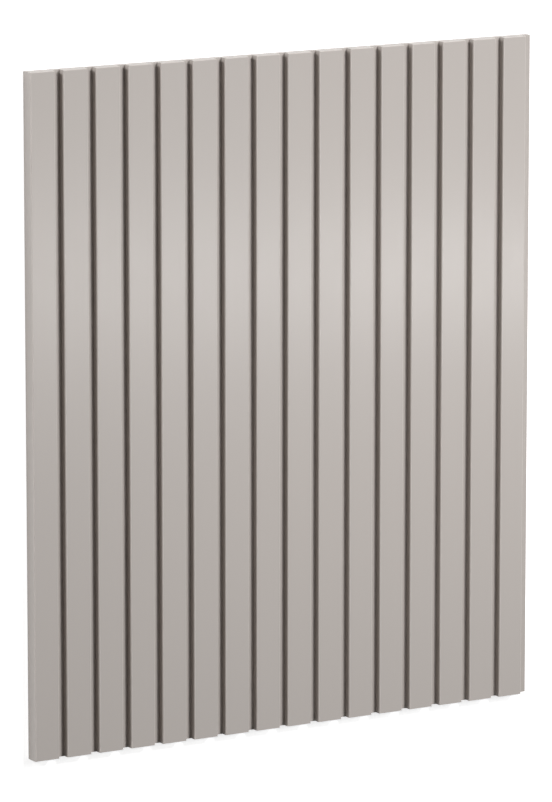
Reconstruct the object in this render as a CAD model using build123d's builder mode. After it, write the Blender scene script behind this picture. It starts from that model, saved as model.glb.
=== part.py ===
from build123d import *
import os

# Slat wall panel: one fibreboard panel with flat-bottomed gaps milled into its face, which leave
# a row of flat, even slats on an unbroken backing. One edge is flush with the first slat, and the
# other ends in a bare strip one gap wide, so that the next panel carries the rhythm on.
# It lies on its back: X runs across the slats, Y along them and Z out of the face, and the origin
# is the middle of the back face.

# Driving dimensions in millimetres
slat_count = 16
slat_width = 27.5
gap_width = 10.0
gap_depth = 8.0
panel_length = 710.0
panel_thickness = 16.0
arris_radius = 1.0

# Sizes that follow
slat_pitch = slat_width + gap_width
panel_width = slat_count * slat_pitch

with BuildPart() as slat_panel:
    # The board before milling
    with BuildSketch() as board_outline:
        Rectangle(panel_width, panel_length)
    extrude(amount=panel_thickness)

    # One gap on the right of each slat, so the last one runs out at the panel's edge
    with BuildSketch(Plane.XY.offset(panel_thickness)) as gaps:
        with Locations((slat_width / 2, 0)):
            with GridLocations(slat_pitch, 0, slat_count, 1):
                Rectangle(gap_width, panel_length)
    extrude(amount=-gap_depth, mode=Mode.SUBTRACT)

    # Each slat's front arrises, eased along its sides and across its ends
    slat_fronts = slat_panel.faces().filter_by(Axis.Z).group_by(Axis.Z)[-1]
    fillet(slat_fronts.edges(), radius=arris_radius)

slat_panel.part.label = "slat_panel"

os.makedirs("parts", exist_ok=True)
export_step(slat_panel.part, "parts/slat_panel.step")
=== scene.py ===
import math

import bmesh
import bpy
from mathutils import Matrix, Vector


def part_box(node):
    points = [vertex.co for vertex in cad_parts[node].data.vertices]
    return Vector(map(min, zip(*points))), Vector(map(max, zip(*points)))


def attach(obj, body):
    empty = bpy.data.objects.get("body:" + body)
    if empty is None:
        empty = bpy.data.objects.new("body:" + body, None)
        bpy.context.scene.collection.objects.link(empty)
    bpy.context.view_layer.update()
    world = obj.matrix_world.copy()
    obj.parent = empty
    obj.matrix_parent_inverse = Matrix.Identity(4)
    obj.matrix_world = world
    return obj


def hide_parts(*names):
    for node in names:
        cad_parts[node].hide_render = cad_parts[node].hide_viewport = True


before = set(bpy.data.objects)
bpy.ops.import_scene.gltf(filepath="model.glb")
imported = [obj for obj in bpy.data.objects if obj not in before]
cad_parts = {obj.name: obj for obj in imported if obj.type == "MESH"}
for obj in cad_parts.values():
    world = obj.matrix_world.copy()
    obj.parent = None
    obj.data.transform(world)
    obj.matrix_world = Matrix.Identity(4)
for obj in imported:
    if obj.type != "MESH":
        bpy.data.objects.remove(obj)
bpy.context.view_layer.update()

# The panel is one sheet of fibreboard with satin paint on all its faces. A straight cutter mills
# flat-bottomed gaps into its front, which leaves a row of flat slats on an unbroken backing, and a bare
# strip beside the last slat. Every front arris is sanded round before the board is sprayed.
low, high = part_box("slat_panel")
slat_count = 16
slat_width = 0.0275
gap_depth = 0.008
arris_radius = 0.001
arris_segments = 4
smooth_up_to = math.radians(40)
slat_pitch = (high.x - low.x) / slat_count
slat_lefts = [low.x + slat * slat_pitch for slat in range(slat_count)]
backing_top = high.z - gap_depth

bpy.ops.object.select_all(action="DESELECT")
bpy.ops.mesh.primitive_cube_add(size=1)
panel = bpy.context.object
panel.name = "panel"
panel.data.name = "panel"
panel.dimensions = (high.x - low.x, high.y - low.y, backing_top - low.z)
panel.location = ((low.x + high.x) / 2, (low.y + high.y) / 2, (low.z + backing_top) / 2)
bpy.ops.object.transform_apply(location=True, rotation=True, scale=True)

# The backing is cut into strips, and the strips under the slats are drawn up to the front.
bpy.ops.object.mode_set(mode="EDIT")
bpy.ops.mesh.select_mode(type="FACE")
for left in slat_lefts:
    for cut in (left, left + slat_width):
        if cut > low.x:
            bpy.ops.mesh.select_all(action="SELECT")
            bpy.ops.mesh.bisect(plane_co=(cut, 0, 0), plane_no=(1, 0, 0))

shape = bmesh.from_edit_mesh(panel.data)
for face in shape.faces:
    past_slat_left = (face.calc_center_median().x - low.x) % slat_pitch
    faces_up = face.normal.z > 0.9
    face.select_set(faces_up and past_slat_left < slat_width)
bmesh.update_edit_mesh(panel.data)
bpy.ops.mesh.extrude_region_move(TRANSFORM_OT_translate={"value": (0, 0, gap_depth)})

# All the edges of the slats' fronts are rounded.
same_height = 1e-6
bpy.ops.mesh.select_mode(type="EDGE")
bpy.ops.mesh.select_all(action="DESELECT")
shape = bmesh.from_edit_mesh(panel.data)
for edge in shape.edges:
    edge.select_set(all(abs(corner.co.z - high.z) < same_height for corner in edge.verts))
bmesh.update_edit_mesh(panel.data)
bpy.ops.mesh.bevel(offset=arris_radius, segments=arris_segments, profile=0.5, affect="EDGES")
bpy.ops.object.mode_set(mode="OBJECT")

bpy.ops.object.shade_smooth_by_angle(angle=smooth_up_to)
weighting = panel.modifiers.new("flat_faces", "WEIGHTED_NORMAL")
weighting.keep_sharp = True
bpy.ops.object.modifier_apply(modifier=weighting.name)

# The sprayed colour drifts a little over the board.
drift_dark = (0.504, 0.464, 0.436)
drift_pale = (0.510, 0.468, 0.438)

paint = bpy.data.materials.new("satin_paint")
paint.use_nodes = True
tree = paint.node_tree
shader = tree.nodes["Principled BSDF"]
place = tree.nodes.new("ShaderNodeTexCoord").outputs["Object"]


def add_noise(tree, place, scale, detail):
    """Soft noise, which lies mostly between 0.3 and 0.7."""
    noise = tree.nodes.new("ShaderNodeTexNoise")
    noise.inputs["Scale"].default_value = scale
    noise.inputs["Detail"].default_value = detail
    tree.links.new(place, noise.inputs["Vector"])
    return noise.outputs["Fac"]


def add_two_shades(tree, noise, dark, pale):
    """A colour that follows soft noise from a dark shade to a pale one."""
    ramp = tree.nodes.new("ShaderNodeValToRGB")
    ramp.color_ramp.elements[0].position = 0.3
    ramp.color_ramp.elements[0].color = (*dark, 1)
    ramp.color_ramp.elements[1].position = 0.7
    ramp.color_ramp.elements[1].color = (*pale, 1)
    tree.links.new(noise, ramp.inputs["Fac"])
    return ramp.outputs["Color"]


drift = add_noise(tree, place, scale=3, detail=1)
sprayed = add_two_shades(tree, drift, drift_dark, drift_pale)

# The film draws thin over the sanded arrises, which show a shade paler, and this paler arris colour is
# also a painted highlight along every front arris.
thin_paint_and_highlight = (0.610, 0.560, 0.526)


def add_range(tree, value, start, end, at_start=0, at_end=1):
    """A value that goes from one result to another between a start and an end, and holds beyond them."""
    mapped = tree.nodes.new("ShaderNodeMapRange")
    mapped.inputs["From Min"].default_value = start
    mapped.inputs["From Max"].default_value = end
    mapped.inputs["To Min"].default_value = at_start
    mapped.inputs["To Max"].default_value = at_end
    tree.links.new(value, mapped.inputs["Value"])
    return mapped.outputs["Result"]


axes = tree.nodes.new("ShaderNodeSeparateXYZ")
tree.links.new(place, axes.inputs["Vector"])
height = axes.outputs["Z"]
below_front = add_range(tree, height, start=high.z, end=high.z - 2 * arris_radius)
# This mask lays the thin paint and its painted highlight along the rounded arrises just below the fronts.
thin_film_and_highlight = tree.nodes.new("ShaderNodeValToRGB")
thin_film_and_highlight.color_ramp.elements[0].color = (0, 0, 0, 1)
thin_film_and_highlight.color_ramp.elements[1].color = (0, 0, 0, 1)
thin_film_and_highlight.color_ramp.elements.new(0.05).color = (1, 1, 1, 1)
thin_film_and_highlight.color_ramp.elements.new(0.5).color = (1, 1, 1, 1)
tree.links.new(below_front, thin_film_and_highlight.inputs["Fac"])
coated_and_highlighted = tree.nodes.new("ShaderNodeMix")
coated_and_highlighted.data_type = "RGBA"
coated_and_highlighted.inputs[7].default_value = (*thin_paint_and_highlight, 1)
tree.links.new(thin_film_and_highlight.outputs["Color"], coated_and_highlighted.inputs[0])
tree.links.new(sprayed, coated_and_highlighted.inputs[6])

# Below the sanded fronts the cutter and the saw leave open board, whose fibres lie in thin layers along
# the slats. They drink more of the paint, which dries duller and less even there.
soaked_dark = (0.486, 0.446, 0.418)
soaked_pale = (0.522, 0.480, 0.450)
sanded_depth = 0.0005
open_depth = 0.0025

open_board = add_range(tree, height, start=high.z - sanded_depth, end=high.z - open_depth)
layers = tree.nodes.new("ShaderNodeMapping")
layers.inputs["Scale"].default_value = (800, 110, 1500)
tree.links.new(place, layers.inputs["Vector"])
fibres = add_noise(tree, layers.outputs["Vector"], scale=1, detail=3)
soaked = add_two_shades(tree, fibres, soaked_dark, soaked_pale)
colour = tree.nodes.new("ShaderNodeMix")
colour.data_type = "RGBA"
tree.links.new(open_board, colour.inputs[0])
tree.links.new(coated_and_highlighted.outputs[2], colour.inputs[6])
tree.links.new(soaked, colour.inputs[7])
tree.links.new(colour.outputs[2], shader.inputs["Base Color"])

# The film is satin, with faint cloudy changes of gloss, and the open board is duller.
clouds = add_noise(tree, place, scale=35, detail=5)
film_gloss = add_range(tree, clouds, start=0.3, end=0.7, at_start=0.277, at_end=0.302)
board_gloss = add_range(tree, fibres, start=0.3, end=0.7, at_start=0.52, at_end=0.4)
gloss = tree.nodes.new("ShaderNodeMix")
tree.links.new(open_board, gloss.inputs[0])
tree.links.new(film_gloss, gloss.inputs[2])
tree.links.new(board_gloss, gloss.inputs[3])
tree.links.new(gloss.outputs[0], shader.inputs["Roughness"])

# The spray dries to a fine orange peel, and the fibres of the open board show through it.
peel_height = 0.000013
fibre_height = 0.00006

droplets = add_noise(tree, place, scale=420, detail=1)
orange_peel = tree.nodes.new("ShaderNodeBump")
orange_peel.inputs["Distance"].default_value = peel_height
tree.links.new(droplets, orange_peel.inputs["Height"])
raised = tree.nodes.new("ShaderNodeMath")
raised.operation = "MULTIPLY"
tree.links.new(fibres, raised.inputs[0])
tree.links.new(open_board, raised.inputs[1])
fibre_relief = tree.nodes.new("ShaderNodeBump")
fibre_relief.inputs["Distance"].default_value = fibre_height
tree.links.new(raised.outputs["Value"], fibre_relief.inputs["Height"])
tree.links.new(orange_peel.outputs["Normal"], fibre_relief.inputs["Normal"])
tree.links.new(fibre_relief.outputs["Normal"], shader.inputs["Normal"])
panel.data.materials.append(paint)

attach(panel, "root")
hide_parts("slat_panel")

# The floor is a plain pale studio floor that the panel lies on. To the camera and in gloss it is lifted
# to white, and it keeps the panel's shadow. It ends where the lamps no longer lift it to white.
floor_size = 2.6
floor_gap = 0.0002
floor_grey = 0.8
floor_lift = 0.8

bpy.ops.object.select_all(action="DESELECT")
bpy.ops.mesh.primitive_plane_add(size=floor_size, location=(0, 0, low.z - floor_gap))
floor = bpy.context.object
floor.name = "floor"


def add_seen_ray(tree):
    """One where a ray comes from the camera, from gloss or through glass, and zero for all other light."""
    light_path = tree.nodes.new("ShaderNodeLightPath")
    seen = light_path.outputs["Is Camera Ray"]
    for ray in ("Is Glossy Ray", "Is Transmission Ray"):
        either = tree.nodes.new("ShaderNodeMath")
        either.operation = "MAXIMUM"
        tree.links.new(seen, either.inputs[0])
        tree.links.new(light_path.outputs[ray], either.inputs[1])
        seen = either.outputs["Value"]
    return seen


floor_paint = bpy.data.materials.new("studio_floor")
floor_paint.use_nodes = True
tree = floor_paint.node_tree
tree.nodes.clear()
matt = tree.nodes.new("ShaderNodeBsdfDiffuse")
matt.inputs["Color"].default_value = (floor_grey, floor_grey, floor_grey, 1)
glow = tree.nodes.new("ShaderNodeEmission")
lift = tree.nodes.new("ShaderNodeMath")
lift.operation = "MULTIPLY"
lift.inputs[1].default_value = floor_lift
both = tree.nodes.new("ShaderNodeAddShader")
output = tree.nodes.new("ShaderNodeOutputMaterial")
tree.links.new(add_seen_ray(tree), lift.inputs[0])
tree.links.new(lift.outputs["Value"], glow.inputs["Strength"])
tree.links.new(matt.outputs["BSDF"], both.inputs[0])
tree.links.new(glow.outputs["Emission"], both.inputs[1])
tree.links.new(both.outputs["Shader"], output.inputs["Surface"])
floor.data.materials.append(floor_paint)

# The camera looks down on the panel from its left and a little past its top end, through a long lens.
# It is turned and lifted from the straight view onto the slats, whose top end is at the top.
camera_turn = math.radians(30.5)
camera_lift = math.radians(10.6)
camera_distance = 6.108
camera_focal_pixels = 5882
frame_height_pixels = 802
aim_right = -0.00888
aim_up = -0.00878

centre = (low + high) / 2
back = Vector((
    -math.sin(camera_turn) * math.cos(camera_lift),
    math.sin(camera_lift),
    math.cos(camera_turn) * math.cos(camera_lift),
))
right = Vector((0, 1, 0)).cross(back).normalized()
up = back.cross(right)
camera_data = bpy.data.cameras.new("camera")
camera = bpy.data.objects.new("camera", camera_data)
bpy.context.scene.collection.objects.link(camera)
camera.location = centre + back * camera_distance + right * aim_right + up * aim_up
camera.rotation_euler = Matrix((right, up, back)).transposed().to_euler()
camera_data.sensor_width = 36
camera_data.lens = camera_data.sensor_width * camera_focal_pixels / frame_height_pixels
bpy.context.scene.camera = camera

# The light is plain soft studio light: a key lamp above the panel's upper right, a low lamp far out on
# its upper left that lights the left edge and the walls of the gaps, and a slim lamp that the satin paint
# mirrors to the camera as a soft band across the slats. The key lamp is kept out of the gloss, as through
# a polarising screen, so that the slats don't turn white where its reflection would be seen.


def add_lamp(name, place, target, size, power, long_side, in_gloss=True):
    """A soft rectangular lamp at a place, turned to a target, with its longer side along a direction.

    Glossy paint mirrors the lamp only where in_gloss is true.
    """
    facing = (place - target).normalized()
    side = (long_side - facing * facing.dot(long_side)).normalized()
    data = bpy.data.lights.new(name, "AREA")
    data.shape = "RECTANGLE"
    data.size, data.size_y = size
    data.energy = power
    lamp = bpy.data.objects.new(name, data)
    bpy.context.scene.collection.objects.link(lamp)
    turn = Matrix((side, facing.cross(side), facing)).transposed()
    lamp.matrix_world = Matrix.Translation(place) @ turn.to_4x4()
    lamp.visible_camera = False
    lamp.visible_glossy = in_gloss


key_direction = Vector((0.412, 0.64, 1.0)).normalized()
key_distance = 3.9
add_lamp("key_lamp", place=centre + key_direction * key_distance, target=centre,
         size=(0.85, 0.85), power=117, long_side=Vector((1, 0, 0)), in_gloss=False)

left_edge = Vector((low.x, 0.1, centre.z))
add_lamp("left_lamp", place=Vector((-3.6, 1.76, 0.81)), target=left_edge,
         size=(0.8, 0.4), power=77, long_side=Vector((0, 1, 0)))

band_middle = Vector((-0.14, 0.162, high.z))
band_course = Vector((1, -0.081, 0))
band_distance = 1.0
mirrored = Vector((-back.x, -back.y, back.z))
add_lamp("band_lamp", place=band_middle + mirrored * band_distance, target=band_middle,
         size=(1.0, 0.06), power=2.35, long_side=band_course)

world = bpy.data.worlds.new("studio")
bpy.context.scene.world = world
world.use_nodes = True
tree = world.node_tree
surround = tree.nodes["Background"]
surround.inputs["Color"].default_value = (1, 1, 1, 1)
tree.links.new(add_seen_ray(tree), surround.inputs["Strength"])

bpy.context.scene.view_settings.view_transform = "Standard"
